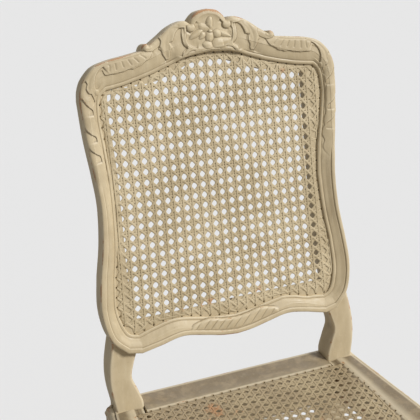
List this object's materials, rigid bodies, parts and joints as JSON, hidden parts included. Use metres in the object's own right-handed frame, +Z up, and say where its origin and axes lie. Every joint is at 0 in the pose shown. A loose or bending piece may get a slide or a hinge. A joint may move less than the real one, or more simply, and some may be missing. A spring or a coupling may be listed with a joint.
{
  "type": "cane chair",
  "caption": "Side chair in the Louis XV manner with a raked, carved and caned back, a caned seat, splayed rear legs and cabriole front legs, painted cream.",
  "frame": {"origin": "on the floor, under the middle of the chair's bounding box", "axes": "+Z up, +Y from the front of the seat to the back, +X to the right of someone who faces the chair"},
  "size_m": [0.5026, 0.5708, 0.9909],
  "materials": {
    "cream_paint": "aged cream paint, worn to the wood at the edges",
    "painted_cane": "woven cane under the same cream paint",
    "peg_wood": "end grain under thin cream paint"
  },
  "bodies": {
    "root": {"crest_rail": "cream_paint", "lower_back_rail": "cream_paint", "back_cane_panel": "painted_cane", "left_rear_leg": "cream_paint", "right_rear_leg": "cream_paint", "left_front_leg": "cream_paint", "right_front_leg": "cream_paint", "rear_seat_rail": "cream_paint", "front_seat_rail": "cream_paint", "left_seat_rail": "cream_paint", "right_seat_rail": "cream_paint", "seat_cane_panel": "painted_cane", "left_crest_peg": "peg_wood", "right_crest_peg": "peg_wood", "left_lower_back_rail_peg": "peg_wood", "right_lower_back_rail_peg": "peg_wood", "left_rear_rail_peg_1": "peg_wood", "left_rear_rail_peg_2": "peg_wood", "right_rear_rail_peg_1": "peg_wood", "right_rear_rail_peg_2": "peg_wood", "left_side_rail_rear_peg_1": "peg_wood", "left_side_rail_rear_peg_2": "peg_wood", "right_side_rail_rear_peg_1": "peg_wood", "right_side_rail_rear_peg_2": "peg_wood", "left_side_rail_front_peg_1": "peg_wood", "left_side_rail_front_peg_2": "peg_wood", "right_side_rail_front_peg_1": "peg_wood", "right_side_rail_front_peg_2": "peg_wood", "left_front_rail_peg_1": "peg_wood", "left_front_rail_peg_2": "peg_wood", "right_front_rail_peg_1": "peg_wood", "right_front_rail_peg_2": "peg_wood"}
  },
  "joints": []
}
